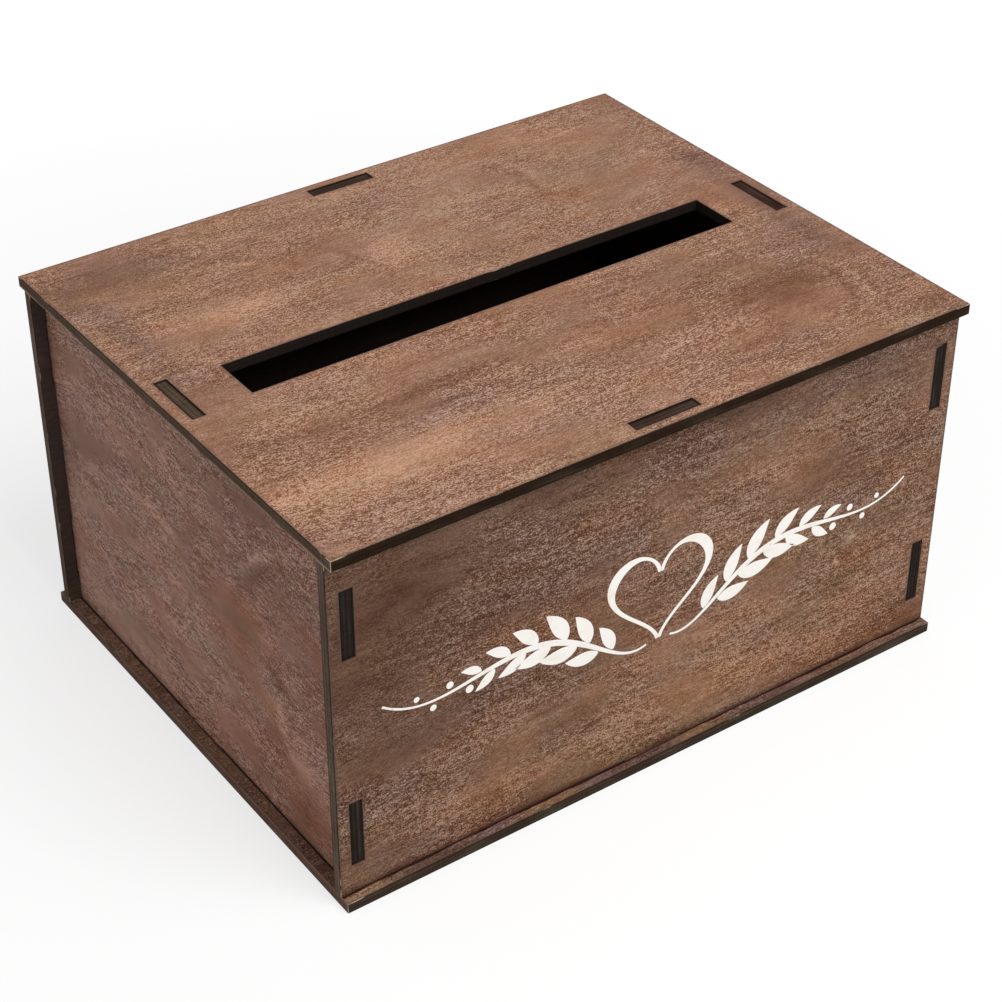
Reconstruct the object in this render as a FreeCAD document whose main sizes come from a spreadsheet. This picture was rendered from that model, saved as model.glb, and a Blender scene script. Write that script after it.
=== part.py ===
"""Card box: a knock-down box of six stained plywood panels held together by tabs in mortises.

The origin is under the middle of the base. +X runs to the right along the front, +Y to the back and
+Z up. All sizes are millimetres.
"""

import FreeCAD, Part
import os
import Sketcher

DRIVING_SIZES = [
    ("box_width", 254.0, "lid and base from end to end, and the front and back panels"),
    ("box_depth", 203.0, "lid and base from front edge to back edge"),
    ("box_height", 140.0, "underside of the base to the top of the lid"),
    ("ply", 4.0, "thickness of the plywood sheet that every panel is cut from"),
    ("rim_overhang", 4.0, "lid and base stand this far past the front and back panels"),
    ("side_inset", 5.0, "side panels stand this far in from the ends of the front and back panels"),
    ("seat_tab_length", 25.0, "tabs on the top and bottom edges of the four walls"),
    ("end_tab_length", 25.0, "tabs on the upright edges of the side panels"),
    ("end_tab_margin", 12.0, "top or bottom edge of a wall to the nearest end tab"),
    ("tab_recess", 0.3, "a tab's end stays this far below the face it comes through"),
    ("fit_gap", 0.3, "clearance between a tab and each wall of its mortise"),
    ("slot_width", 20.0, "card slot from front to back"),
    ("slot_end_margin", 28.0, "end of the card slot to the end of the lid"),
]

doc = FreeCAD.newDocument("card_box")
sizes = doc.addObject("Spreadsheet::Sheet", "sizes")
for row, (alias, value, meaning) in enumerate(DRIVING_SIZES, start=1):
    sizes.set(f"A{row}", alias)
    sizes.set(f"B{row}", str(value))
    sizes.set(f"C{row}", meaning)
    sizes.setAlias(f"B{row}", alias)
doc.recompute()

# Lengths that follow from the driving sizes, as expressions on the sheet.
WALL_HEIGHT = "(sizes.box_height - 2 * sizes.ply)"
FRONT_FACE = "(sizes.box_depth / 2 - sizes.rim_overhang)"
SIDE_FACE = "(sizes.box_width / 2 - sizes.side_inset)"
SIDE_LENGTH = f"(2 * {FRONT_FACE} - 2 * sizes.ply)"
TAB_REACH = "(sizes.ply - sizes.tab_recess)"
MORTISE_WIDTH = "(sizes.ply + 2 * sizes.fit_gap)"
SEAT_MORTISE_LENGTH = "(sizes.seat_tab_length + 2 * sizes.fit_gap)"
END_MORTISE_LENGTH = "(sizes.end_tab_length + 2 * sizes.fit_gap)"
END_TAB_CENTRE = f"({WALL_HEIGHT} / 2 - sizes.end_tab_margin - sizes.end_tab_length / 2)"
SLOT_LENGTH = "(sizes.box_width - 2 * sizes.slot_end_margin)"


def new_panel(name):
    """An empty body for one panel, labelled with the panel's name."""
    body = doc.addObject("PartDesign::Body", name)
    body.Label = name
    return body


def new_sketch(body, name, plane_role):
    """A sketch on one of the body's own origin planes."""
    plane = next(f for f in body.Origin.OriginFeatures if f.Role == plane_role)
    sketch = body.newObject("Sketcher::SketchObject", f"{body.Name}_{name}")
    sketch.AttachmentSupport = [(plane, "")]
    sketch.MapMode = "FlatFace"
    return sketch


def add_rectangle(sketch, centre_x, centre_y, length_x, length_y):
    """A rectangle held by its lower left corner and two sides, each driven by an expression."""
    left = f"{centre_x} - {length_x} / 2"
    bottom = f"{centre_y} - {length_y} / 2"
    x0, y0, dx, dy = (float(sketch.evalExpression(e)) for e in (left, bottom, length_x, length_y))
    corners = [(x0, y0), (x0 + dx, y0), (x0 + dx, y0 + dy), (x0, y0 + dy)]
    points = [FreeCAD.Vector(x, y, 0) for x, y in corners]
    lines = [Part.LineSegment(points[i], points[(i + 1) % 4]) for i in range(4)]
    bottom_line, right_line, top_line, left_line = sketch.addGeometry(lines)
    around = [bottom_line, right_line, top_line, left_line]
    for line, following in zip(around, around[1:] + around[:1]):
        sketch.addConstraint(Sketcher.Constraint("Coincident", line, 2, following, 1))
    for line in (bottom_line, top_line):
        sketch.addConstraint(Sketcher.Constraint("Horizontal", line))
    for line in (right_line, left_line):
        sketch.addConstraint(Sketcher.Constraint("Vertical", line))
    driven = [
        (Sketcher.Constraint("DistanceX", -1, 1, bottom_line, 1, x0), left),
        (Sketcher.Constraint("DistanceY", -1, 1, bottom_line, 1, y0), bottom),
        (Sketcher.Constraint("DistanceX", bottom_line, 1, bottom_line, 2, dx), length_x),
        (Sketcher.Constraint("DistanceY", right_line, 1, right_line, 2, dy), length_y),
    ]
    for constraint, expression in driven:
        index = sketch.addConstraint(constraint)
        sketch.setExpression(f"Constraints[{index}]", expression)


def add_sheet(body, name, plane_role, rectangles):
    """Pads rectangles to the ply's thickness, half of it on each side of the plane."""
    sketch = new_sketch(body, f"{name}_sketch", plane_role)
    for rectangle in rectangles:
        add_rectangle(sketch, *rectangle)
    pad = body.newObject("PartDesign::Pad", f"{body.Name}_{name}")
    pad.Profile = sketch
    pad.Midplane = True
    pad.setExpression("Length", "sizes.ply")
    doc.recompute()


def cut_through(body, name, plane_role, rectangles):
    """Cuts rectangles right through the panel, both ways from the plane, and checks what was cut."""
    solid_volume = body.Tip.Shape.Volume
    sketch = new_sketch(body, f"{name}_sketch", plane_role)
    for rectangle in rectangles:
        add_rectangle(sketch, *rectangle)
    pocket = body.newObject("PartDesign::Pocket", f"{body.Name}_{name}")
    pocket.Profile = sketch
    pocket.Type = "ThroughAll"
    pocket.Midplane = True
    doc.recompute()
    cut_area = sum(Part.Face(wire).Area for wire in sketch.Shape.Wires)
    expected = cut_area * sizes.ply
    if abs(solid_volume - pocket.Shape.Volume - expected) > 1e-6 * expected:
        raise RuntimeError(f"{pocket.Name} cut {solid_volume - pocket.Shape.Volume}, not {expected}")


def mirrored(rectangle, flips):
    """Copies of a rectangle (centre x, centre y, side x, side y) with its centre's signs flipped."""
    centre_x, centre_y, length_x, length_y = rectangle
    return [(f"{sx} * {centre_x}", f"{sy} * {centre_y}", length_x, length_y) for sx, sy in flips]


UP_AND_DOWN = [(1, 1), (1, -1)]
LEFT_AND_RIGHT = [(1, 1), (-1, 1)]
FOUR_QUARTERS = [(1, 1), (-1, 1), (1, -1), (-1, -1)]


def flat_panel(name, height_of_middle):
    """The lid or the base: a full sheet with a mortise near the middle of each edge for a wall's tab."""
    body = new_panel(name)
    add_sheet(body, "sheet", "XY_Plane", [("0", "0", "sizes.box_width", "sizes.box_depth")])
    wall_middle = f"({FRONT_FACE} - sizes.ply / 2)"
    side_middle = f"({SIDE_FACE} - sizes.ply / 2)"
    front_and_back = mirrored(("0", wall_middle, SEAT_MORTISE_LENGTH, MORTISE_WIDTH), UP_AND_DOWN)
    left_and_right = mirrored((side_middle, "0", MORTISE_WIDTH, SEAT_MORTISE_LENGTH), LEFT_AND_RIGHT)
    cut_through(body, "mortises", "XY_Plane", front_and_back + left_and_right)
    body.setExpression("Placement.Base.z", height_of_middle)
    return body


def seat_tabs():
    """Rectangles for the tabs in the middle of a wall's top and bottom edges."""
    middle = f"(({WALL_HEIGHT} + {TAB_REACH}) / 2)"
    return mirrored(("0", middle, "sizes.seat_tab_length", TAB_REACH), UP_AND_DOWN)


def long_wall(name, place_of_middle):
    """The front or back panel, as wide as the lid, with four mortises for the side panels' tabs."""
    body = new_panel(name)
    add_sheet(body, "sheet", "XZ_Plane", [("0", "0", "sizes.box_width", WALL_HEIGHT)])
    add_sheet(body, "seat_tabs", "XZ_Plane", seat_tabs())
    side_middle = f"({SIDE_FACE} - sizes.ply / 2)"
    mortise = (side_middle, END_TAB_CENTRE, MORTISE_WIDTH, END_MORTISE_LENGTH)
    cut_through(body, "mortises", "XZ_Plane", mirrored(mortise, FOUR_QUARTERS))
    body.setExpression("Placement.Base.y", place_of_middle)
    body.setExpression("Placement.Base.z", "sizes.box_height / 2")
    return body


def side_wall(name, place_of_middle):
    """The left or right panel, between the front and back, with two tabs on each upright edge."""
    body = new_panel(name)
    add_sheet(body, "sheet", "YZ_Plane", [("0", "0", SIDE_LENGTH, WALL_HEIGHT)])
    add_sheet(body, "seat_tabs", "YZ_Plane", seat_tabs())
    tab_middle = f"(({SIDE_LENGTH} + {TAB_REACH}) / 2)"
    end_tab = (tab_middle, END_TAB_CENTRE, TAB_REACH, "sizes.end_tab_length")
    add_sheet(body, "end_tabs", "YZ_Plane", mirrored(end_tab, FOUR_QUARTERS))
    body.setExpression("Placement.Base.x", place_of_middle)
    body.setExpression("Placement.Base.z", "sizes.box_height / 2")
    return body


base = flat_panel("base_panel", "sizes.ply / 2")
front = long_wall("front_panel", f"sizes.ply / 2 - {FRONT_FACE}")
back = long_wall("back_panel", f"{FRONT_FACE} - sizes.ply / 2")
left = side_wall("left_side_panel", f"sizes.ply / 2 - {SIDE_FACE}")
right = side_wall("right_side_panel", f"{SIDE_FACE} - sizes.ply / 2")

# The lid is the base's twin with the card slot cut through its middle.
lid = flat_panel("lid_panel", "sizes.box_height - sizes.ply / 2")
cut_through(lid, "card_slot", "XY_Plane", [("0", "0", SLOT_LENGTH, "sizes.slot_width")])

doc.recompute()
panels = [base, front, back, left, right, lid]
failed = [item.Name for item in doc.Objects if {"Invalid", "Error"} & set(item.State)]
if failed:
    raise RuntimeError(f"these did not recompute: {failed}")
for panel in panels:
    if panel.Shape.isNull() or not panel.Shape.isValid() or len(panel.Shape.Solids) != 1:
        raise RuntimeError(f"{panel.Label} is not one valid solid")

os.makedirs("parts", exist_ok=True)
for panel in panels:
    panel.Shape.exportStep(f"parts/{panel.Label}.step")
    box = panel.Shape.BoundBox
    corners = [round(v, 3) for v in (box.XMin, box.YMin, box.ZMin, box.XMax, box.YMax, box.ZMax)]
    print(panel.Label, "volume", round(panel.Shape.Volume, 1), "box", corners)
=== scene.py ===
import math

import bpy
import numpy as np
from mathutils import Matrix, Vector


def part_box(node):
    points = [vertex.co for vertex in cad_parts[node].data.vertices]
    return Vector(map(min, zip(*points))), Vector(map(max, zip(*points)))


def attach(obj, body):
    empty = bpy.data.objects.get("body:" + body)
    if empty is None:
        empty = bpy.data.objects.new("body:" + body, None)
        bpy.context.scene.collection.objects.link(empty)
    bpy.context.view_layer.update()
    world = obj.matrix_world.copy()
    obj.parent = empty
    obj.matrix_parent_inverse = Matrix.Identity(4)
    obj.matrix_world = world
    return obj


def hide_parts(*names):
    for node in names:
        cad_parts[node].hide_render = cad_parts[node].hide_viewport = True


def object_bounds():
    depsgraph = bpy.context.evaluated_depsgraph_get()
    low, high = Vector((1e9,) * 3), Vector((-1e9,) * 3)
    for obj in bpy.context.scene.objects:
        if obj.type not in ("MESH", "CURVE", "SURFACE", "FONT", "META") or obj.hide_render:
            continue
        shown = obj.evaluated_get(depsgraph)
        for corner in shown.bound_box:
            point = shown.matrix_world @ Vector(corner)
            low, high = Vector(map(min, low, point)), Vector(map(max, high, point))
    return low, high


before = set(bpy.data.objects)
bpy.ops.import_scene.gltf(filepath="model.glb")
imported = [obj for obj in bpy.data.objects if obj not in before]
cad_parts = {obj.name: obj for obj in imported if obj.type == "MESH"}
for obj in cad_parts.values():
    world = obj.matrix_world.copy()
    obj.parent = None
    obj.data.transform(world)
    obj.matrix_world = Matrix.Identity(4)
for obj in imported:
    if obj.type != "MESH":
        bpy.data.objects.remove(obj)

cad_low, cad_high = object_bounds()


# Base panel
# A full sheet of thin plywood, cut out by laser and stained walnut, that the whole box stands on.
# Four mortises, one near the middle of each edge, take the tabs under the four walls.

base_low, base_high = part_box("base_panel")
lid_low, lid_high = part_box("lid_panel")
front_low, front_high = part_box("front_panel")
left_low, left_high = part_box("left_side_panel")
PLY = base_high.z - base_low.z
HALF_WIDTH = (base_high.x - base_low.x) / 2
HALF_DEPTH = (base_high.y - base_low.y) / 2
WALL_MIDDLE = -(front_low.y + front_high.y) / 2
SIDE_MIDDLE = -(left_low.x + left_high.x) / 2
SEAT_TAB = 0.025
FIT_GAP = 0.0003
HALO = 0.002
ARRIS = 0.0002
FACE, SIDE_CUT, ROUNDED, BACK, END_CUT = range(5)


def rectangle(u, v, length, height):
    """Low and high u, then low and high v, of a rectangle about its middle."""
    return (u - length / 2, u + length / 2, v - height / 2, v + height / 2)


def mortise(u, v, length, height):
    """A rectangular hole that clears a tab of that size by the fit gap all round."""
    return rectangle(u, v, length + 2 * FIT_GAP, height + 2 * FIT_GAP)


def ruled(cuts):
    """Every cut along one side of the sheet, with a line one halo's width before and after each."""
    lines = np.concatenate([cuts - HALO, cuts, cuts + HALO])
    return np.unique(lines.clip(cuts.min(), cuts.max()).round(7))


def inside(rectangles, u, v):
    """True where a point lies in any of the rectangles; u runs down the rows and v along the columns."""
    low_u, high_u, low_v, high_v = np.reshape(rectangles, (-1, 4)).T[:, :, None, None]
    u = u[None, :, None]
    v = v[None, None, :]
    return ((u > low_u) & (u < high_u) & (v > low_v) & (v < high_v)).any(axis=0)


def distance_to_cuts(points, starts, ends):
    """Distance from each point to the nearest straight cut: its foot on each cut is kept between the ends."""
    along = ends - starts
    to_point = points[:, None, :] - starts[None]
    share = (to_point * along).sum(2) / (along * along).sum(1)
    foot = starts[None] + share.clip(0, 1)[:, :, None] * along
    return np.linalg.norm(points[:, None, :] - foot, axis=2).min(axis=1)


def cut_sheet(name, solids, holes, middle, along, across):
    """A sheet cut square through, as a closed mesh about the middle of its thickness.

    The sheet is ruled by a line at each cut and a halo's width either side. A cell is wood where its middle
    lies in a solid rectangle and in no hole. Each wood cell gives an upper and a lower face, and each border
    between wood and air gives a wall. The attribute from_cut is a corner's distance to the nearest cut.
    Materials: FACE above, BACK below, SIDE_CUT along the grain, END_CUT across it and ROUNDED on the arrises.
    """
    edges = np.array(solids + holes)
    u = ruled(edges[:, :2].ravel())
    v = ruled(edges[:, 2:].ravel())
    cell_u = (u[1:] + u[:-1]) / 2
    cell_v = (v[1:] + v[:-1]) / 2
    wood = inside(solids, cell_u, cell_v) & ~inside(holes, cell_u, cell_v)
    framed = np.pad(wood, 1)
    corner = np.arange(u.size * v.size).reshape(u.size, v.size)
    above = corner.size
    i, j = np.nonzero(wood)
    square = [corner[i, j], corner[i + 1, j], corner[i + 1, j + 1], corner[i, j + 1]]
    upper = np.stack(square, 1) + above
    lower = np.stack(square[::-1], 1)
    walls = []
    finishes = [np.full(len(upper), FACE), np.full(len(lower), BACK)]
    for step_u, step_v, first, second in ((1, 0, 1, 2), (0, 1, 2, 3), (-1, 0, 3, 0), (0, -1, 0, 1)):
        bare = ~framed[i + 1 + step_u, j + 1 + step_v]
        start = square[first][bare]
        end = square[second][bare]
        walls.append(np.stack([start, end, end + above, start + above], 1))
        finishes.append(np.full(len(start), END_CUT if step_u else SIDE_CUT))
    walls = np.concatenate(walls)
    faces = np.concatenate([upper, lower, walls])
    flat = np.stack(np.meshgrid(u, v, indexing="ij"), 2).reshape(-1, 2)
    from_cut = distance_to_cuts(flat, flat[walls[:, 0]], flat[walls[:, 1]])
    across = np.array(across, float)
    along = np.array(along, float)
    level = np.cross(along, across) * PLY / 2
    places = np.array(middle) + flat[:, :1] * along + flat[:, 1:] * across
    places = np.concatenate([places - level, places + level])
    used, faces = np.unique(faces, return_inverse=True)
    faces = faces.reshape(-1, 4)
    mesh = bpy.data.meshes.new(name)
    mesh.from_pydata(places[used], [], faces)
    distances = np.tile(from_cut, 2)[used].clip(0, HALO)
    mesh.attributes.new("from_cut", "FLOAT", "POINT").data.foreach_set("value", distances)
    mesh.polygons.foreach_set("material_index", np.concatenate(finishes))
    mesh.update()
    piece = bpy.data.objects.new(name, mesh)
    bpy.context.scene.collection.objects.link(piece)
    bevel = piece.modifiers.new("arris", "BEVEL")
    bevel.width = ARRIS
    bevel.segments = 2
    bevel.limit_method = "ANGLE"
    bevel.material = ROUNDED
    return piece


class Shade:
    """A value over a surface: one socket of a material's nodes, whose arithmetic adds Math nodes."""

    def __init__(self, tree, socket=None):
        self.tree = tree
        self.socket = socket

    def node(self, kind, settings=None, sockets=None, output=0):
        """Adds a node, sets its settings, then fills its sockets with values or links."""
        made = self.tree.nodes.new(kind)
        for key, value in (settings or {}).items():
            setattr(made, key, value)
        for key, value in (sockets or {}).items():
            if isinstance(value, Shade):
                self.tree.links.new(value.socket, made.inputs[key])
            else:
                made.inputs[key].default_value = value
        return Shade(self.tree, made.outputs[output])

    def math(self, operation, *others):
        """A Math node on this value and then the others."""
        return self.node("ShaderNodeMath", {"operation": operation}, dict(enumerate((self, *others))))

    def __add__(self, other):
        return self.math("ADD", other)

    def __sub__(self, other):
        return self.math("SUBTRACT", other)

    def __rsub__(self, other):
        return self.math("MULTIPLY_ADD", -1.0, other)

    def __mul__(self, other):
        return self.math("MULTIPLY", other)

    def __abs__(self):
        return self.math("ABSOLUTE")

    __radd__ = __add__
    __rmul__ = __mul__

    def rise(self, low, high):
        """0 below low and 1 above high, with a smooth step between, or the reverse if low is above high."""
        if low > high:
            return 1 - self.rise(high, low)
        smooth_step = {"interpolation_type": "SMOOTHSTEP"}
        return self.node("ShaderNodeMapRange", smooth_step, {0: self, 1: low, 2: high})

    def noise(self, x, y, z, detail=0.0, roughness=0.5):
        """Smooth noise from 0 to 1 about a half, on coordinates already scaled to its own cells."""
        spot = self.node("ShaderNodeCombineXYZ", None, {0: x, 1: y, 2: z})
        sockets = {"Vector": spot, "Scale": 1.0, "Detail": detail, "Roughness": roughness}
        return self.node("ShaderNodeTexNoise", None, sockets)

    def blend(self, first, second):
        """A colour that goes from first to second as this value goes from 0 to 1, and no further."""
        return self.node("ShaderNodeMix", {"data_type": "RGBA"}, {0: self, 6: first, 7: second}, 2)

    def tint(self, colour):
        """A colour times this value."""
        return self.node("ShaderNodeVectorMath", {"operation": "SCALE"}, {0: colour, 3: self})


def colour(red, green, blue, lift=0):
    """A colour from 0 to 255, with its parts lifted by one amount or by three, as linear light."""
    picture = np.clip(np.array([red, green, blue]) + lift, 0, 255) / 255
    linear = np.where(picture > 0.04045, ((picture + 0.055) / 1.055) ** 2.4, picture / 12.92)
    return (*linear.tolist(), 1.0)


def new_finish(name, axes):
    """A bare material, its shader and the surface's place on its sheet: along, across and through it."""
    material = bpy.data.materials.new(name)
    material.use_nodes = True
    tree = material.node_tree
    shader = next(n for n in tree.nodes if n.type == "BSDF_PRINCIPLED")
    shade = Shade(tree)
    place = shade.node("ShaderNodeTexCoord", output=3)
    parts = [shade.node("ShaderNodeSeparateXYZ", None, {0: place}, "XYZ".index(axis)) for axis in axes]
    return material, shader, shade, parts


def lay(shader, socket, value):
    """Links a varying value to one of a shader's sockets."""
    value.tree.links.new(value.socket, shader.inputs[socket])


def hump(along, across, spot):
    """A smooth hump, 1 at its middle and a third at its reach: e to the minus distance squared."""
    middle_along, middle_across, reach_along, reach_across = spot
    out_along = (along - middle_along) * (1 / reach_along)
    out_across = (across - middle_across) * (1 / reach_across)
    return (out_along * out_along + out_across * out_across).math("MULTIPLY", -1.0).math("EXPONENT")


def arc_band(along, across, arc):
    """A band along a circle, fading from one spot: e to the minus distance squared from the circle."""
    (middle_along, middle_across), radius, width, spot = arc
    out_along = along - middle_along
    out_across = across - middle_across
    out = ((out_along * out_along + out_across * out_across).math("SQRT") - radius) * (1 / width)
    return (out * out * -1).math("EXPONENT") * hump(along, across, spot)


TONE_STEP = np.array((47, 50, 52))
# Colours of painted shade: a contact shadow on the base along the feet of the walls, and shade on a wall from
# its foot up.
CONTACT_SHADOW = (46, 22, 15)
FOOT_SHADE = (80, 49, 37)

# Cells to the metre, along and across the grain, of each layer of the veneer.
BEND_CELLS = (7, 12)
EDDY_CELLS = (22, 30)
GRIT_CELLS = (1700, 2100)
FIBRE_CELLS = (480, 1250)
STREAK_CELLS = (45, 480)
PORE_CELLS = (110, 1100)
BLOTCH_CELLS = (80, 170)
CLOUD_CELLS = (12, 34)
WARMTH_CELLS = (26, 60)
OLIVE_CELLS = (20, 75)
RUB_CELLS = (30, 48)
HAZE_CELLS = (130, 130)
SHADOW_SPREAD_CELLS = (75, 75)


def stained_veneer(
    name, axes, seed, stain, patches=(), arcs=(), smooth=(), grit=1.0, streaks=1.0, swirl=0.0,
    fibre_cells=FIBRE_CELLS, rub_cells=RUB_CELLS, least_rub=0.4, wall_feet=None, foot=None,
):
    """Walnut stain on rotary-cut veneer.

    The grain wanders slowly across the sheet and eddies where the log was knotty. Fine grit, short fibres,
    streaks, dark pores and cloudy bands, each longer along the grain than across, add up to a tone that runs
    from deep to pale. A slower cloud turns the stain from cool to warm, with an olive cast in places. Patches
    and arcs are mostly places where the stain took more or less, and a few patches are painted shade. Smooth
    places have little grit. Smoke greys the wood within a halo of each cut. A painted contact shadow darkens
    the base along the feet of the walls, and painted shade darkens a wall from its foot up.

    A spot is its middle along and across and its reach along and across. A patch is a spot, how much paler it
    is and how much warmer. An arc is a circle's middle and radius, the band's width and the spot where it
    shows, then the same two amounts. A smooth place is a spot and the share of the grit that is gone there.
    """
    warm, cool, olive, smoke = stain
    material, shader, shade, (along, across, through) = new_finish(name, axes)
    sheet = through * 30 + seed

    def layer(cells, sideways, step, detail, roughness=0.5):
        """One layer's noise, with its own cells and its own step away from the other layers."""
        return shade.noise(along * cells[0], sideways * cells[1], sheet + step, detail, roughness)

    bend = layer(BEND_CELLS, across, 0.0, 2.0) - 0.5
    eddy = layer(EDDY_CELLS, across, 5.0, 1.0) - 0.5
    grain = across + bend * 0.016 + eddy * swirl
    drift = along + bend * 0.03
    speck = layer(GRIT_CELLS, across, 3.0, 1.0) - 0.5
    fibre = layer(fibre_cells, grain, 7.0, 1.0, 0.6) - 0.5
    streak = layer(STREAK_CELLS, grain, 11.0, 1.0) - 0.5
    pore = layer(PORE_CELLS, grain, 47.0, 1.0).rise(0.6, 0.72)
    blotch = layer(BLOTCH_CELLS, grain, 17.0, 2.0, 0.6) - 0.5
    cloud = layer(CLOUD_CELLS, grain, 23.0, 2.0, 0.55) - 0.5
    turn = layer(WARMTH_CELLS, grain, 29.0, 2.0, 0.6)
    cast = layer(OLIVE_CELLS, grain, 41.0, 3.0, 0.6).rise(0.45, 0.75) * 0.7
    rough = layer(rub_cells, across, 31.0, 1.0).rise(0.3, 0.6)
    rub = rough * (1.6 - 2 * least_rub) + least_rub
    for spot, ease in smooth:
        rub = rub * (1 - hump(along, across, spot) * ease)
    fine = (speck * 3.6 + fibre * 2.2) * rub * grit
    tone = fine + (streak - pore * 0.4) * rub * streaks + blotch * 0.9 + cloud * 0.9
    warmth = (turn - 0.5) * 1.6 + 0.5
    for spot, paleness, heat in patches:
        reach = hump(drift, grain, spot)
        tone = tone + reach * paleness
        warmth = warmth + reach * heat
    for arc, paleness, heat in arcs:
        reach = arc_band(drift, across + (bend + eddy) * 0.010, arc) * (blotch * 3.0 + 0.8)
        tone = tone + reach * paleness
        warmth = warmth + reach * heat
    steps = [
        cast.blend(warmth.blend(colour(*cool, lift), colour(*warm, lift)), colour(*olive, lift))
        for lift in (-TONE_STEP, 0, TONE_STEP)
    ]
    wood = tone.blend((tone * -1).blend(steps[1], steps[0]), steps[2])
    from_cut = shade.node("ShaderNodeAttribute", {"attribute_name": "from_cut"}, None, 2)
    wander = (layer(HAZE_CELLS, across, 37.0, 2.0) - 0.5) * 0.7
    haze = (from_cut * (1 / HALO) + wander).rise(0.8, 0.05) * 0.6
    wood = haze.blend(wood, colour(*smoke))
    # Painted contact shadow: a dark, wavering line on the base along the feet of the walls.
    if wall_feet:
        past_side = (abs(abs(along) - wall_feet[0]) * 1000 + wander * 1.2).rise(0.8, 0.4)
        shadow_spread = layer(SHADOW_SPREAD_CELLS, across, 43.0, 1.0).rise(0.35, 0.65) * 0.6
        past_front = (abs(abs(across) - wall_feet[1]) * 1000 - shadow_spread).rise(0.55, 0.25)
        between = (wall_feet[1] - abs(across)).rise(0.0, 0.0005)
        contact_shadow = (past_side * between).math("MAXIMUM", past_front)
        wood = contact_shadow.blend(wood, colour(*CONTACT_SHADOW))
    # Painted shade on a wall from its foot up, stronger in some places along it than in others.
    if foot is not None:
        foot_shade_strength = shade.noise(along * 28, sheet, 0.0, 1.0).rise(0.3, 0.6) * 0.6 + 0.15
        foot_shade = (across - foot + wander * 0.002).rise(0.0034, 0.0004) * foot_shade_strength
        wood = foot_shade.blend(wood, colour(*FOOT_SHADE))
    lay(shader, "Base Color", wood)
    lay(shader, "Roughness", 0.6 + fine * 0.1 + (turn - 0.5) * 0.2)
    shader.inputs["Specular IOR Level"].default_value = 0.14
    bump = shade.node("ShaderNodeBump", None, {"Strength": 0.3, "Distance": 0.0002, "Height": fine + streak})
    lay(shader, "Normal", bump)
    return material


BACK_STAIN = (66, 52, 47)
THIN_BACK_STAIN = (83, 64, 56)


def dark_back(name, axes, seed):
    """The sheet's back, stained dark: faint fibres and thin, browner places."""
    material, shader, shade, (along, across, through) = new_finish(name, axes)
    fibre = shade.noise(along * 260, across * 900, seed, 2.0) - 0.5
    thin = shade.noise(along * 30, across * 70, seed + 5.0, 2.0).rise(0.5, 0.75)
    stain = thin.blend(colour(*BACK_STAIN), colour(*THIN_BACK_STAIN))
    lay(shader, "Base Color", (1.0 + fibre * 1.2).tint(stain))
    lay(shader, "Roughness", 0.68 + fibre * 0.3)
    shader.inputs["Specular IOR Level"].default_value = 0.2
    return material


PLIES = 5
# Painted shade for the walls deep inside an opening.
OPENING_SHADE = (35, 28, 25)
RUBBED_FOOT = (168, 152, 130)


def charred_edge(name, axes, middle, seed, char, stripes=0.2, worn_foot=0.0, shaded_opening=None):
    """The laser's cut through the sheet: burnt plies with glue lines between, faint ribs and a little ash.

    A worn foot is how far the cut's lower border is rubbed to bare wood. A shaded opening, given by half its
    length along and half across, has its walls coloured nearly black as painted shade in the hollow.
    """
    material, shader, shade, (along, across, through) = new_finish(name, axes)
    ply = (through - (middle - PLY / 2)) * (PLIES / PLY)
    crosswise = ply.math("FLOOR").math("MODULO", 2.0)
    glue = abs(ply.math("FRACT") - 0.5).rise(0.36, 0.48)
    ribs = shade.noise(along * 1300, across * 1300, through * 60 + seed, 1.0) - 0.5
    ash = shade.noise(along * 48, across * 48, through * 260 + seed, 3.0).rise(0.42, 0.75)
    olive = shade.noise(along * 17, across * 17, through * 30 + seed + 9.0, 1.0).rise(0.5, 0.7)
    red, green, blue = char
    ashy = olive.blend(colour(*char, 6), colour(red - 4, green + 2, blue - 4, 6))
    burnt = ash.blend(colour(*char, -12), ashy)
    foot = (ply + ash * 1.2).rise(1.3, 0.6) * worn_foot
    burnt = foot.blend(burnt, colour(*RUBBED_FOOT))
    # Painted shade: the walls inside the opening are coloured nearly black, where its hollow lies in shade.
    if shaded_opening:
        within_length = abs(along).rise(shaded_opening[0] + 0.002, shaded_opening[0] + 0.001)
        within_width = abs(across).rise(shaded_opening[1] + 0.002, shaded_opening[1] + 0.001)
        burnt = (within_length * within_width).blend(burnt, colour(*OPENING_SHADE))
    light = 1.0 + ribs * 0.9 + crosswise * stripes - glue * 0.4
    lay(shader, "Base Color", light.tint(burnt))
    lay(shader, "Roughness", 0.74 + ribs * 0.3)
    shader.inputs["Specular IOR Level"].default_value = 0.05
    relief = ribs - glue * 0.3
    bump = shade.node("ShaderNodeBump", None, {"Strength": 0.4, "Distance": 0.0002, "Height": relief})
    lay(shader, "Normal", bump)
    return material


CHARRED_ARRIS = (40, 30, 24)
BARE_ARRIS = (176, 158, 136)
STAINED_ARRIS = (134, 110, 96)


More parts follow.
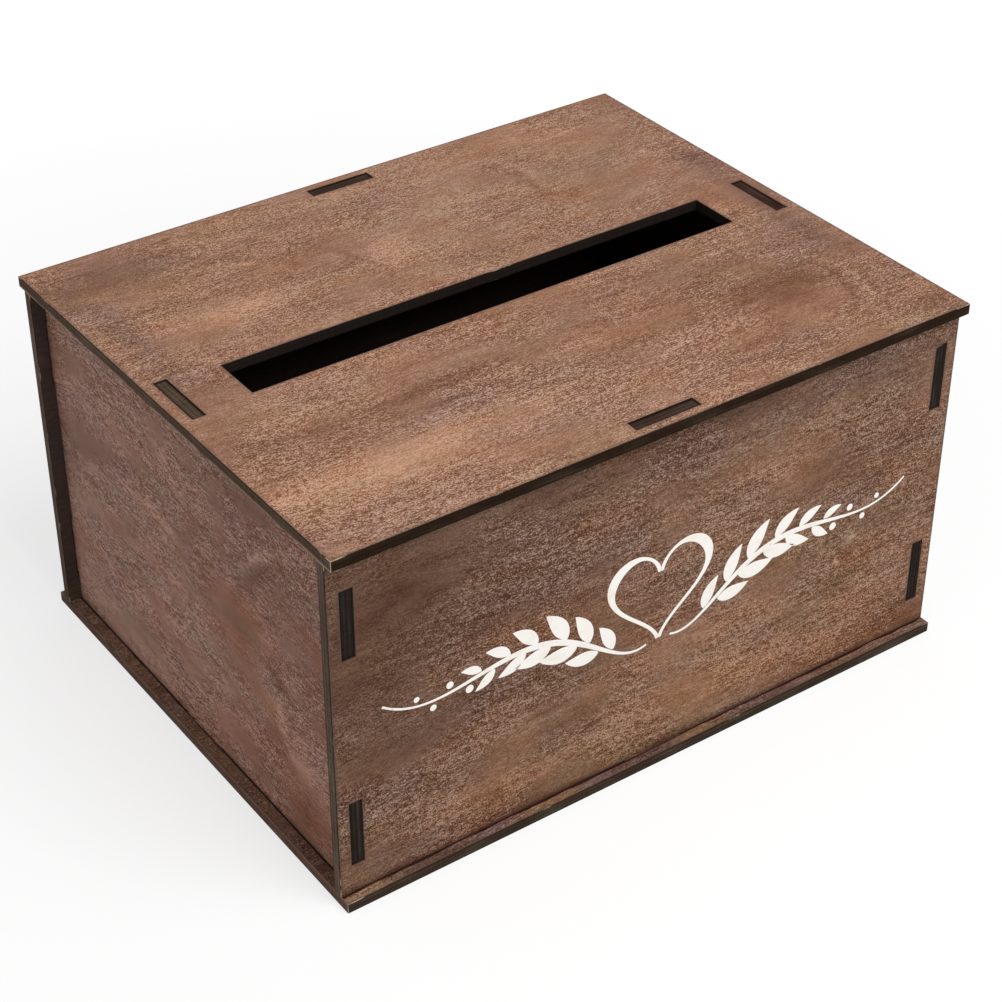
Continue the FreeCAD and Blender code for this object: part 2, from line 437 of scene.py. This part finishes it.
def worn_arris(name, axes, seed, half_along, half_across, level=0.0, rubbed_above=None):
    """The sharp edge of a cut: charred, with bare wood where handling has rubbed it, most at the corners.

    The level is where the middle of the sheet lies across the grain. Where it is rubbed above a height, the
    end edges up there are bare for most of their length and the stain has got into them.
    """
    material, shader, shade, (along, across, through) = new_finish(name, axes)
    corner = (abs(along) * (1 / half_along) + abs(across - level) * (1 / half_across)).rise(1.92, 2.0)
    wear = shade.noise(along * 70, across * 70, through * 70 + seed, 4.0, 0.65) + corner * 0.2
    rubbed = wear.rise(0.6, 0.74)
    bare = colour(*BARE_ARRIS)
    if rubbed_above is not None:
        at_end = abs(along).rise(half_along - 0.002, half_along - 0.001)
        upper = (through - rubbed_above).rise(0.0, 0.001) * at_end
        rubbed = rubbed.math("MAXIMUM", upper * wear.rise(0.34, 0.5))
        bare = upper.blend(bare, colour(*STAINED_ARRIS))
    lay(shader, "Base Color", rubbed.blend(colour(*CHARRED_ARRIS), bare))
    lay(shader, "Roughness", 0.7 - rubbed * 0.15)
    shader.inputs["Specular IOR Level"].default_value = 0.1
    return material


def finish_panel(piece, node, body, finishes):
    """Gives a panel its finishes (face, side cuts, arrises, back, end cuts) and its solid's place."""
    for finish in finishes:
        piece.data.materials.append(finish)
    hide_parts(node)
    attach(piece, body)


FLAT_MORTISES = [
    mortise(0, WALL_MIDDLE, SEAT_TAB, PLY),
    mortise(0, -WALL_MIDDLE, SEAT_TAB, PLY),
    mortise(SIDE_MIDDLE, 0, PLY, SEAT_TAB),
    mortise(-SIDE_MIDDLE, 0, PLY, SEAT_TAB),
]
FULL_SHEET = rectangle(0, 0, 2 * HALF_WIDTH, 2 * HALF_DEPTH)

base_middle = (0, 0, (base_low.z + base_high.z) / 2)
base_board = cut_sheet("base_board", [FULL_SHEET], FLAT_MORTISES, base_middle, (1, 0, 0), (0, 1, 0))
base_stain = [(127, 93, 67), (104, 77, 71), (116, 91, 68), (98, 75, 62)]
base_patches = [
    ((-0.120, -0.100, 0.010, 0.006), 0.25, 0.8),
    ((-0.086, -0.100, 0.022, 0.006), -0.05, -1.0),
    ((-0.045, -0.100, 0.012, 0.006), 0.20, 0.9),
    ((-0.025, -0.100, 0.010, 0.006), 0.20, -1.2),
    ((0.000, -0.100, 0.010, 0.006), -0.10, -1.0),
    ((0.018, -0.100, 0.009, 0.006), 0.15, 0.8),
    ((0.045, -0.100, 0.014, 0.006), -0.05, -0.8),
]
base_veneer = stained_veneer(
    "base_veneer", "XYZ", 4.1, base_stain, base_patches, grit=0.85, streaks=0.7,
    wall_feet=(SIDE_MIDDLE + PLY / 2, WALL_MIDDLE + PLY / 2),
)
base_cut = charred_edge("base_cut", "XYZ", base_middle[2], 1.0, (63, 52, 43), 0.4)
base_end_cut = charred_edge("base_end_cut", "XYZ", base_middle[2], 1.5, (114, 91, 80))
base_arris = worn_arris("base_arris", "XYZ", 1.0, HALF_WIDTH, HALF_DEPTH, rubbed_above=base_middle[2])
flat_back = dark_back("flat_back", "XYZ", 1.0)
finish_panel(base_board, "base_panel", "base", [base_veneer, base_cut, base_arris, flat_back, base_end_cut])


# Front and back panels
# Two twins as wide as the box, standing on the base between its mortises and the lid's.
# Each has a tab up and a tab down, and four upright mortises that the side panels' tabs come through.

END_TAB = 0.025
END_TAB_MARGIN = 0.012
TAB_REACH = base_high.z - front_low.z
WALL_HEIGHT = lid_low.z - base_high.z
WALL_LEVEL = (lid_low.z + base_high.z) / 2
END_TAB_CENTRE = WALL_HEIGHT / 2 - END_TAB_MARGIN - END_TAB / 2
SEAT_TABS = [rectangle(0, side * (WALL_HEIGHT + TAB_REACH) / 2, SEAT_TAB, TAB_REACH) for side in (1, -1)]
END_MORTISES = [
    mortise(side * SIDE_MIDDLE, level * END_TAB_CENTRE, PLY, END_TAB) for side in (1, -1) for level in (1, -1)
]
long_wall = [rectangle(0, 0, 2 * HALF_WIDTH, WALL_HEIGHT)] + SEAT_TABS
TAB_CHAR = (58, 45, 37)
END_CHAR = (98, 82, 71)
HALF_HEIGHT = WALL_HEIGHT / 2

front_board = cut_sheet(
    "front_board", long_wall, END_MORTISES, (0, -WALL_MIDDLE, WALL_LEVEL), (1, 0, 0), (0, 0, 1)
)
long_wall_stain = [(142, 98, 69), (119, 90, 74), (124, 97, 72), (84, 68, 58)]
front_patches = [
    # These two darken the upper left and the left edge: partly stain, partly painted shade where the light
    # falls off.
    ((-0.080, 0.105, 0.075, 0.026), -0.41, -0.6),
    ((-0.120, 0.070, 0.028, 0.070), -0.32, -0.6),
    ((-0.062, 0.056, 0.042, 0.016), -0.44, -0.5),
    ((0.100, 0.097, 0.045, 0.022), -0.28, -0.2),
    # Painted shadow: a dark band along the top of the panel, under the lid's overhang.
    ((0.020, 0.132, 0.160, 0.015), -0.30, -0.5),
    ((-0.030, 0.032, 0.040, 0.006), -0.25, -0.2),
    ((-0.085, 0.019, 0.040, 0.008), 0.13, 0.1),
    ((0.065, 0.020, 0.050, 0.009), 0.15, 0.1),
    ((0.025, 0.039, 0.050, 0.012), 0.15, 0.0),
    ((-0.068, 0.041, 0.030, 0.005), 0.10, 0.0),
    ((0.085, 0.062, 0.035, 0.016), -0.10, 0.0),
    ((0.108, 0.012, 0.022, 0.010), -0.25, 0.0),
    ((0.000, 0.026, 0.160, 0.022), -0.01, 0.22),
    ((-0.108, 0.122, 0.014, 0.012), -0.18, 0.3),
    ((0.000, 0.124, 0.014, 0.010), 0.14, -0.1),
    ((0.054, 0.123, 0.016, 0.010), 0.16, -0.2),
    ((0.022, 0.101, 0.022, 0.012), -0.14, 0.1),
    ((0.110, 0.048, 0.016, 0.022), 0.12, -0.2),
    ((0.055, 0.016, 0.045, 0.009), -0.08, 0.1),
    ((0.0836, 0.057, 0.0020, 0.0010), 1.3, 0.3),
    ((0.0780, 0.050, 0.0008, 0.0016), 1.1, 0.2),
    ((0.0870, 0.030, 0.0030, 0.0007), 0.8, 0.3),
]
front_smooth = [
    ((-0.100, 0.112, 0.022, 0.020), 0.65),
    ((-0.118, 0.110, 0.012, 0.032), 0.75),
    ((-0.108, 0.061, 0.018, 0.014), 0.6),
]
front_veneer = stained_veneer(
    "front_veneer", "XZY", 12.7, long_wall_stain, front_patches, smooth=front_smooth, grit=1.32, streaks=1.1,
    swirl=0.004, foot=base_high.z,
)
front_cut = charred_edge("front_cut", "XZY", -WALL_MIDDLE, 2.0, TAB_CHAR, 0.6)
front_end_cut = charred_edge("front_end_cut", "XZY", -WALL_MIDDLE, 2.5, END_CHAR, 0.35)
front_arris = worn_arris("front_arris", "XZY", 2.0, HALF_WIDTH, HALF_HEIGHT, WALL_LEVEL)
wall_back = dark_back("wall_back", "XZY", 2.0)
front_finishes = [front_veneer, front_cut, front_arris, wall_back, front_end_cut]
finish_panel(front_board, "front_panel", "walls", front_finishes)

back_board = cut_sheet(
    "back_board", long_wall, END_MORTISES, (0, WALL_MIDDLE, WALL_LEVEL), (-1, 0, 0), (0, 0, 1)
)
back_patches = [
    ((0.060, 0.090, 0.070, 0.022), -0.40, -0.5),
    ((-0.070, 0.040, 0.060, 0.012), 0.35, 0.4),
    ((0.020, 0.020, 0.080, 0.008), 0.25, 0.3),
    ((-0.040, 0.110, 0.060, 0.008), 0.25, 0.0),
]
back_veneer = stained_veneer(
    "back_veneer", "XZY", 31.3, long_wall_stain, back_patches, grit=1.32, streaks=1.1, swirl=0.006,
    foot=base_high.z,
)
back_cut = charred_edge("back_cut", "XZY", WALL_MIDDLE, 3.0, TAB_CHAR, 0.6)
back_end_cut = charred_edge("back_end_cut", "XZY", WALL_MIDDLE, 3.5, END_CHAR, 0.35)
back_arris = worn_arris("back_arris", "XZY", 3.0, HALF_WIDTH, HALF_HEIGHT, WALL_LEVEL)
back_finishes = [back_veneer, back_cut, back_arris, wall_back, back_end_cut]
finish_panel(back_board, "back_panel", "walls", back_finishes)


# Painted flourish
# A heart between two leafy sprigs, brushed through a stencil in cream paint on the front panel.
# The film follows the wood and stands only a twentieth of a millimetre above it.

FLOURISH_CENTRE = (0.0, 0.0715)
FILM = 0.00005
SINK = 0.00003
POINTS = 72
PEN_ANGLE = math.radians(35)
LEAVES = 11
LEAF_ANGLE = math.radians(44)
LEAF_BOW = math.radians(28)
LEAF_FULLNESS = 0.19
LEAF_STALK = 1.5
run = np.linspace(0, 1, POINTS)


def bend_through(controls):
    """A Bezier curve: each control point weighed by its Bernstein polynomial along the run."""
    order = len(controls) - 1
    weights = [math.comb(order, k) * run**k * (1 - run) ** (order - k) for k in range(order + 1)]
    return np.array(weights).T @ np.array(controls, float)


def heading(spine):
    """Unit direction of travel at each point of each spine."""
    step = np.gradient(spine, axis=-2)
    return step / np.linalg.norm(step, axis=-1, keepdims=True)


def pen_width(spine, thin, thick):
    """Half the width that a broad pen held at one angle leaves: thick where it travels across the pen."""
    way = heading(spine)
    turn = np.arctan2(way[..., 1], way[..., 0]) - PEN_ANGLE
    return thin + (thick - thin) * np.sin(turn) ** 2


def leaves_on(stem):
    """Leaves that leave a stem by turns on either side, smaller towards its tip, each bowed back along it.

    A leaf's spine sets off at an angle from the stem and turns a little towards it. Its half width is a sine
    bump that is fullest before its middle and comes to a point.
    """
    place = np.linspace(0.16, 0.68, LEAVES)
    at = (place * (POINTS - 1)).round().astype(int)
    side = np.where(np.arange(LEAVES) % 2 == 0, 1.0, -1.0)
    way = heading(stem)[at]
    angle = np.arctan2(way[:, 1], way[:, 0]) + side * LEAF_ANGLE
    length = np.interp(place, [0.1, 0.35, 0.7], [12.0, 16.0, 8.0])
    turn = angle[:, None] - side[:, None] * LEAF_BOW * run
    steps = np.stack([np.cos(turn), np.sin(turn)], 2) * (length / (POINTS - 1))[:, None, None]
    start = stem[at] + np.stack([np.cos(angle), np.sin(angle)], 1) * LEAF_STALK
    spine = start[:, None, :] + np.cumsum(steps, axis=1)
    return spine, LEAF_FULLNESS * length[:, None] * np.sin(math.pi * run**0.8) ** 0.9


def berries_on(stem):
    """Round berries beside the stem's bare end, by turns above and below it.

    Each is a short stroke whose half width follows a circle along the run.
    """
    at = (np.array([0.735, 0.795, 0.85, 0.90]) * (POINTS - 1)).round().astype(int)
    side = np.array([-1.0, 1.0, -1.0, 1.0])
    radius = np.array([1.5, 1.35, 1.2, 1.05])
    way = heading(stem)[at]
    centre = stem[at] + (side * (radius + 1.6))[:, None] * np.stack([-way[:, 1], way[:, 0]], 1)
    reach = 2 * run - 1
    spine = centre[:, None, :] + radius[:, None, None] * np.stack([reach, 0 * reach], 1)
    return spine, radius[:, None] * np.sqrt(np.clip(1 - reach**2, 0, 1))


# Half of a heart: across, a sine cubed, and up, four cosines of its first, double, triple and fourfold angle.
HEART_SIZE = 1.25
turn_round = np.linspace(0.07, math.pi - 0.05, POINTS)
heart_up = sum(share * np.cos(times * turn_round) for times, share in ((1, 13), (2, -5), (3, -2), (4, -1)))
lobe = HEART_SIZE * np.stack([16 * np.sin(turn_round) ** 3 + 0.35, heart_up + 1.5], 1)
lobe_width = pen_width(lobe, 0.7, 2.0) * np.sin(math.pi * run) ** 0.25
stem = bend_through([(5, -20), (24, -27), (36, 14), (62, 9), (84, -16), (109, 3)])
stem_width = 0.4 + 0.8 * np.sin(math.pi * np.clip(run * 1.1, 0, 1)) ** 2
leaf_spines, leaf_widths = leaves_on(stem)
berry_spines, berry_widths = berries_on(stem)
half_spines = np.concatenate([lobe[None], stem[None], leaf_spines, berry_spines])
half_widths = np.concatenate([lobe_width[None], stem_width[None], leaf_widths, berry_widths])
spines = np.concatenate([half_spines, half_spines * (-1, 1)]) * 0.001 + FLOURISH_CENTRE
widths = np.concatenate([half_widths, half_widths]) * 0.001 + 0.00002


def paint_film(name, spines, widths, face):
    """Closed films of paint: a low six-sided profile, wide at the foot, carried along each spine."""
    way = heading(spines)
    left = np.stack([-way[..., 1], way[..., 0]], -1)
    foot = np.array([1.0, 0.86, -0.86, -1.0, -1.0, 1.0])
    rise = np.array([0.3 * FILM, FILM, FILM, 0.3 * FILM, -SINK, -SINK])
    flat = spines[:, :, None, :] + left[:, :, None, :] * widths[:, :, None, None] * foot[:, None]
    depth = np.broadcast_to(face - rise, flat.shape[:3])
    places = np.stack([flat[..., 0], depth, flat[..., 1]], -1).reshape(-1, 3)
    strokes, points, sides = flat.shape[:3]
    corner = np.arange(strokes * points * sides).reshape(strokes, points, sides)
    beside = np.roll(corner, -1, axis=2)
    quads = np.stack([corner[:, :-1], beside[:, :-1], beside[:, 1:], corner[:, 1:]], -1).reshape(-1, 4)
    caps = np.concatenate([corner[:, 0, ::-1], corner[:, -1]])
    mesh = bpy.data.meshes.new(name)
    mesh.from_pydata(places, [], quads.tolist() + caps.tolist())
    mesh.update()
    piece = bpy.data.objects.new(name, mesh)
    bpy.context.scene.collection.objects.link(piece)
    return piece


CREAM = (253, 249, 242)
THIN_CREAM = (244, 236, 225)
WOOD_THROUGH = (176, 150, 128)


def cream_paint(name, axes):
    """Cream chalk paint: faint clouds where it lies thin, pinholes in the grain and a soft, dry surface."""
    material, shader, shade, (along, across, through) = new_finish(name, axes)
    thin = shade.noise(along * 120, across * 200, 3.0, 2.0).rise(0.45, 0.8)
    grain = shade.noise(along * 300, across * 1100, 7.0, 2.0)
    pinhole = grain.rise(0.3, 0.22)
    paint = thin.blend(colour(*CREAM), colour(*THIN_CREAM))
    lay(shader, "Base Color", (pinhole * 0.6).blend(paint, colour(*WOOD_THROUGH)))
    lay(shader, "Roughness", 0.55 + grain * 0.2)
    shader.inputs["Specular IOR Level"].default_value = 0.25
    bump = shade.node("ShaderNodeBump", None, {"Strength": 0.25, "Distance": 0.0001, "Height": grain})
    lay(shader, "Normal", bump)
    return material


flourish = paint_film("painted_flourish", spines, widths, -WALL_MIDDLE - PLY / 2)
flourish.data.materials.append(cream_paint("cream_paint", "XZY"))
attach(flourish, "walls")


# Side panels
# Two twins between the front and back, set in from the ends of the box.
# Two tabs on each upright edge push through the front and back, and one up and one down hold lid and base.

SIDE_LENGTH = 2 * (WALL_MIDDLE - PLY / 2)
END_TABS = [
    rectangle(end * (SIDE_LENGTH + TAB_REACH) / 2, level * END_TAB_CENTRE, TAB_REACH, END_TAB)
    for end in (1, -1) for level in (1, -1)
]
short_wall = [rectangle(0, 0, SIDE_LENGTH, WALL_HEIGHT)] + SEAT_TABS + END_TABS
END_TAB_CHAR = (43, 37, 34)
side_back = dark_back("side_back", "YZX", 3.0)
side_stain = [(166, 117, 95), (149, 111, 97), (146, 115, 95), (104, 84, 76)]
left_patches = [
    # Painted shade: a dark band at the far end, in the corner against the back panel.
    ((0.0955, 0.070, 0.006, 0.200), -0.45, 0.0),
    ((0.055, 0.070, 0.025, 0.030), 0.12, -0.2),
    ((0.045, 0.020, 0.030, 0.020), 0.10, 0.0),
    ((-0.064, 0.068, 0.030, 0.022), -0.13, 0.1),
    ((-0.068, 0.042, 0.014, 0.011), 0.55, 0.3),
    ((-0.050, 0.052, 0.007, 0.007), 0.40, 0.1),
    ((-0.055, 0.037, 0.014, 0.011), -0.42, 0.0),
    ((-0.075, 0.070, 0.018, 0.020), -0.25, -0.3),
    ((0.085, 0.060, 0.022, 0.080), 0.25, -0.3),
    ((0.045, 0.014, 0.050, 0.016), 0.38, 0.0),
    ((-0.040, 0.110, 0.042, 0.024), -0.34, -0.5),
    ((-0.012, 0.075, 0.026, 0.050), -0.08, 0.1),
    ((-0.053, 0.0645, 0.005, 0.0022), -0.9, 0.0),
    ((-0.032, 0.068, 0.014, 0.016), -0.22, 0.5),
    ((-0.072, 0.018, 0.016, 0.010), -0.45, 0.4),
    ((0.078, 0.083, 0.016, 0.009), -0.25, -1.2),
    ((0.020, 0.060, 0.028, 0.024), 0.22, -0.1),
    ((0.000, 0.118, 0.040, 0.010), 0.18, 0.1),
    ((-0.078, 0.088, 0.020, 0.014), -0.25, 0.3),
]
left_arcs = [
    (((0.028, 0.010), 0.082, 0.0040, (0.055, 0.088, 0.040, 0.030)), -0.35, -1.4),
    (((0.028, 0.010), 0.075, 0.0022, (0.040, 0.084, 0.036, 0.030)), 0.40, 0.1),
    (((-0.105, 0.030), 0.098, 0.0020, (-0.050, 0.112, 0.026, 0.030)), 0.70, 0.1),
    (((-0.105, 0.030), 0.092, 0.0030, (-0.045, 0.102, 0.026, 0.030)), -0.40, -0.6),
    (((-0.080, 0.058), 0.026, 0.0020, (-0.056, 0.050, 0.012, 0.016)), 0.45, 0.2),
    (((-0.080, 0.058), 0.031, 0.0025, (-0.052, 0.044, 0.014, 0.018)), -0.30, 0.0),
]
left_smooth = [
    ((-0.034, 0.070, 0.020, 0.020), 0.8),
    ((-0.072, 0.016, 0.022, 0.012), 0.8),
    ((0.078, 0.085, 0.020, 0.012), 0.9),
    ((0.060, 0.014, 0.030, 0.012), 0.7),
    ((-0.075, 0.090, 0.024, 0.016), 0.6),
]
right_patches = [
    ((0.050, 0.060, 0.050, 0.012), 0.35, 0.3),
    ((-0.040, 0.100, 0.050, 0.010), -0.35, -0.3),
]
right_arcs = [
    (((-0.030, 0.000), 0.060, 0.0035, (-0.030, 0.060, 0.045, 0.030)), -0.40, -0.6),
    (((-0.030, 0.000), 0.068, 0.0030, (-0.020, 0.066, 0.040, 0.030)), 0.35, 0.2),
]
right_smooth = [((-0.030, 0.045, 0.030, 0.020), 0.7)]

for name, side, seed, tab_char, patches, arcs, smooth in (
    ("left_side", -1, 44.9, (80, 67, 55), left_patches, left_arcs, left_smooth),
    ("right_side", 1, 58.2, (56, 35, 29), right_patches, right_arcs, right_smooth),
):
    side_middle = side * SIDE_MIDDLE
    side_board = cut_sheet(
        f"{name}_board", short_wall, [], (side_middle, 0, WALL_LEVEL), (0, side, 0), (0, 0, 1)
    )
    side_veneer = stained_veneer(
        f"{name}_veneer", "YZX", seed, side_stain, patches, arcs, smooth, grit=1.33, streaks=0.8, swirl=0.013,
        fibre_cells=(310, 1200), rub_cells=(60, 75), least_rub=0.15,
    )
    side_cut = charred_edge(f"{name}_cut", "YZX", side_middle, seed, tab_char, 0.5)
    side_end_cut = charred_edge(f"{name}_end_cut", "YZX", side_middle, seed + 0.5, END_TAB_CHAR, 0.6)
    side_arris = worn_arris(f"{name}_arris", "YZX", seed, SIDE_LENGTH / 2, HALF_HEIGHT, WALL_LEVEL)
    finish_panel(
        side_board, f"{name}_panel", "walls", [side_veneer, side_cut, side_arris, side_back, side_end_cut]
    )


# Lid panel
# The base's twin, dropped over the tabs on top of the walls, with a long slot across it for posting cards.
# Nothing fastens it: it lifts straight off to take the cards out.

SLOT_WIDTH = 0.020
SLOT_END_MARGIN = 0.028
card_slot = rectangle(0, 0, 2 * HALF_WIDTH - 2 * SLOT_END_MARGIN, SLOT_WIDTH)
lid_middle = (0, 0, (lid_low.z + lid_high.z) / 2)
lid_board = cut_sheet(
    "lid_board", [FULL_SHEET], FLAT_MORTISES + [card_slot], lid_middle, (1, 0, 0), (0, 1, 0)
)
lid_stain = [(158, 111, 81), (140, 104, 87), (146, 112, 84), (104, 80, 66)]
lid_patches = [
    ((-0.040, -0.055, 0.030, 0.016), 0.11, -0.3),
    ((0.050, -0.055, 0.025, 0.018), -0.13, 0.2),
    ((0.000, -0.084, 0.045, 0.010), 0.13, -0.1),
    ((0.100, -0.084, 0.025, 0.012), -0.13, 0.1),
    ((-0.095, 0.056, 0.022, 0.014), -0.13, -0.1),
    ((-0.015, 0.086, 0.030, 0.012), 0.10, 0.0),
    ((-0.085, -0.068, 0.060, 0.009), 0.50, 0.5),
    ((-0.082, 0.037, 0.024, 0.009), 0.45, 0.4),
    ((-0.015, 0.042, 0.010, 0.016), 0.35, 0.4),
    ((0.080, -0.059, 0.018, 0.011), -0.45, -0.1),
    ((-0.098, 0.083, 0.020, 0.010), -0.28, -0.5),
    ((-0.100, 0.027, 0.034, 0.012), 0.14, 0.1),
    ((0.070, 0.040, 0.060, 0.020), 0.10, 0.0),
    ((-0.104, -0.054, 0.034, 0.016), -0.18, -0.2),
    ((0.085, -0.058, 0.050, 0.036), -0.26, -0.2),
    ((-0.121, 0.045, 0.006, 0.040), -0.30, -0.8),
    ((0.120, -0.008, 0.006, 0.028), -0.35, -0.9),
    ((0.119, 0.038, 0.006, 0.010), -0.45, -0.6),
    ((0.118, -0.094, 0.010, 0.008), -0.50, -0.2),
    ((-0.055, -0.041, 0.040, 0.003), -0.50, -0.2),
    ((-0.040, -0.050, 0.030, 0.002), -0.40, -0.1),
    ((0.060, -0.036, 0.030, 0.006), -0.30, 0.0),
    ((0.060, 0.085, 0.040, 0.012), 0.12, 0.3),
]
lid_arcs = [
    (((0.022, 0.050), 0.036, 0.0016, (0.056, 0.058, 0.012, 0.024)), -0.30, -0.1),
    (((0.022, 0.050), 0.041, 0.0016, (0.060, 0.062, 0.012, 0.024)), 0.22, 0.2),
    (((0.080, -0.058), 0.024, 0.0016, (0.102, -0.066, 0.014, 0.020)), -0.50, -0.1),
    (((0.080, -0.058), 0.029, 0.0020, (0.106, -0.070, 0.014, 0.024)), 0.30, 0.2),
    (((0.080, -0.058), 0.034, 0.0016, (0.108, -0.074, 0.014, 0.024)), -0.35, -0.1),
    (((-0.075, 0.040), 0.028, 0.0018, (-0.060, 0.066, 0.026, 0.014)), 0.35, 0.1),
    (((-0.075, 0.040), 0.033, 0.0018, (-0.055, 0.070, 0.026, 0.014)), -0.35, -0.2),
    (((-0.064, 0.030), 0.040, 0.0018, (-0.027, 0.044, 0.010, 0.018)), -0.45, 0.1),
    (((-0.060, -0.030), 0.048, 0.0014, (-0.014, -0.018, 0.008, 0.014)), -0.40, 0.0),
]
lid_smooth = [
    ((0.080, -0.060, 0.020, 0.013), 0.7),
    ((0.119, 0.0, 0.008, 0.030), 0.6),
    ((0.085, 0.060, 0.014, 0.012), 0.5),
    ((0.050, 0.085, 0.030, 0.010), 0.5),
    ((-0.100, 0.080, 0.020, 0.012), 0.5),
    ((0.0, -0.055, 0.12, 0.04), -0.25),
]
lid_veneer = stained_veneer(
    "lid_veneer", "XYZ", 71.6, lid_stain, lid_patches, lid_arcs, lid_smooth, grit=1.20, streaks=0.9,
    swirl=0.010,
)
slot_reach = (HALF_WIDTH - SLOT_END_MARGIN, SLOT_WIDTH / 2)
# The slot's walls carry painted shade, nearly black.
lid_cut = charred_edge("lid_cut", "XYZ", lid_middle[2], 5.0, (45, 33, 23), 0.3, shaded_opening=slot_reach)
lid_end_cut = charred_edge(
    "lid_end_cut", "XYZ", lid_middle[2], 5.5, (95, 78, 64), worn_foot=0.8, shaded_opening=slot_reach
)
lid_arris = worn_arris("lid_arris", "XYZ", 5.0, HALF_WIDTH, HALF_DEPTH)
finish_panel(lid_board, "lid_panel", "lid", [lid_veneer, lid_cut, lid_arris, flat_back, lid_end_cut])


# Studio
# A plain white floor under soft light, and a camera at the height and side that the picture was taken from.

FLOOR_REACH = 3.0
FLOOR_WHITE = (0.8, 0.8, 0.8, 1.0)
FLOOR_SEEN = (0.34, 0.34, 0.34, 1.0)
FLOOR_GLOW = 0.68
FLOOR_GAIN = 0.24
FLOOR_BRIGHTENS = (0.2, 0.9)
PURE_WHITE = (1.0, 1.0, 1.0, 1.0)
SKY_STRENGTH = 0.4

floor_mesh = bpy.data.meshes.new("floor")
around = ((-1, -1), (1, -1), (1, 1), (-1, 1))
floor_corners = [(side_x * FLOOR_REACH, side_y * FLOOR_REACH, cad_low.z) for side_x, side_y in around]
floor_mesh.from_pydata(floor_corners, [], [(0, 1, 2, 3)])
floor = bpy.data.objects.new("floor", floor_mesh)
bpy.context.scene.collection.objects.link(floor)
paper = bpy.data.materials.new("white_paper")
paper.use_nodes = True
plain_paper = next(n for n in paper.node_tree.nodes if n.type == "BSDF_PRINCIPLED")
plain_paper.inputs["Base Color"].default_value = FLOOR_WHITE
plain_paper.inputs["Roughness"].default_value = 1.0
plain_paper.inputs["Specular IOR Level"].default_value = 0.0
light_table = Shade(paper.node_tree)
place = light_table.node("ShaderNodeTexCoord", output=3)
away = light_table.node("ShaderNodeVectorMath", {"operation": "LENGTH"}, {0: place}, 1)
white_light = (away.rise(*FLOOR_BRIGHTENS) * FLOOR_GAIN + FLOOR_GLOW).tint(PURE_WHITE[:3])
glow = light_table.node("ShaderNodeEmission", None, {0: white_light})
shadowed = light_table.node("ShaderNodeBsdfDiffuse", None, {0: FLOOR_SEEN})
seen_floor = light_table.node("ShaderNodeAddShader", None, {0: glow, 1: shadowed})
to_camera = light_table.node("ShaderNodeLightPath")
paper_out = next(n for n in paper.node_tree.nodes if n.type == "OUTPUT_MATERIAL")
lit_paper = Shade(paper.node_tree, plain_paper.outputs[0])
choice = light_table.node("ShaderNodeMixShader", None, {0: to_camera, 1: lit_paper, 2: seen_floor})
lay(paper_out, "Surface", choice)
floor_mesh.materials.append(paper)

world = bpy.data.worlds.new("studio")
bpy.context.scene.world = world
world.use_nodes = True
sky = Shade(world.node_tree)
backdrop = next(n for n in world.node_tree.nodes if n.type == "BACKGROUND")
ray_kinds = ("Is Camera Ray", "Is Glossy Ray", "Is Transmission Ray")
rays = [sky.node("ShaderNodeLightPath", output=kind) for kind in ray_kinds]
shown = rays[0].math("MAXIMUM", rays[1]).math("MAXIMUM", rays[2])
lay(backdrop, "Strength", shown * (1 - SKY_STRENGTH) + SKY_STRENGTH)
backdrop.inputs["Color"].default_value = PURE_WHITE


def soft_lamp(name, place, aim, width, power):
    """A square soft box at a place, turned to its aim."""
    lamp = bpy.data.lights.new(name, "AREA")
    lamp.size = width
    lamp.energy = power
    holder = bpy.data.objects.new(name, lamp)
    holder.location = place
    way = np.subtract(aim, place)
    holder.rotation_euler = (
        math.atan2(math.hypot(way[0], way[1]), -way[2]), 0, math.atan2(way[1], way[0]) - math.pi / 2
    )
    bpy.context.scene.collection.objects.link(holder)


KEY_PLACE = (0.15, -0.78, 1.22)
KEY_AIM = (0, 0, 0.1)
KEY_WIDTH = 0.9
KEY_POWER = 14.8
soft_lamp("key_lamp", KEY_PLACE, KEY_AIM, KEY_WIDTH, KEY_POWER)

CAMERA_AIM = (-0.0115, -0.0230, 0.070)
CAMERA_DISTANCE = 0.8167
CAMERA_AZIMUTH = math.radians(-35.31)
CAMERA_ELEVATION = math.radians(34.91)
CAMERA_LENS = 84.1
SENSOR = 36.0
level_distance = CAMERA_DISTANCE * math.cos(CAMERA_ELEVATION)
camera_data = bpy.data.cameras.new("camera")
camera_data.lens = CAMERA_LENS
camera_data.sensor_width = SENSOR
camera = bpy.data.objects.new("camera", camera_data)
camera.location = (
    CAMERA_AIM[0] + level_distance * math.sin(CAMERA_AZIMUTH),
    CAMERA_AIM[1] - level_distance * math.cos(CAMERA_AZIMUTH),
    CAMERA_AIM[2] + CAMERA_DISTANCE * math.sin(CAMERA_ELEVATION),
)
camera.rotation_euler = (math.pi / 2 - CAMERA_ELEVATION, 0, CAMERA_AZIMUTH)
bpy.context.scene.collection.objects.link(camera)
bpy.context.scene.camera = camera
bpy.context.scene.view_settings.view_transform = "Standard"
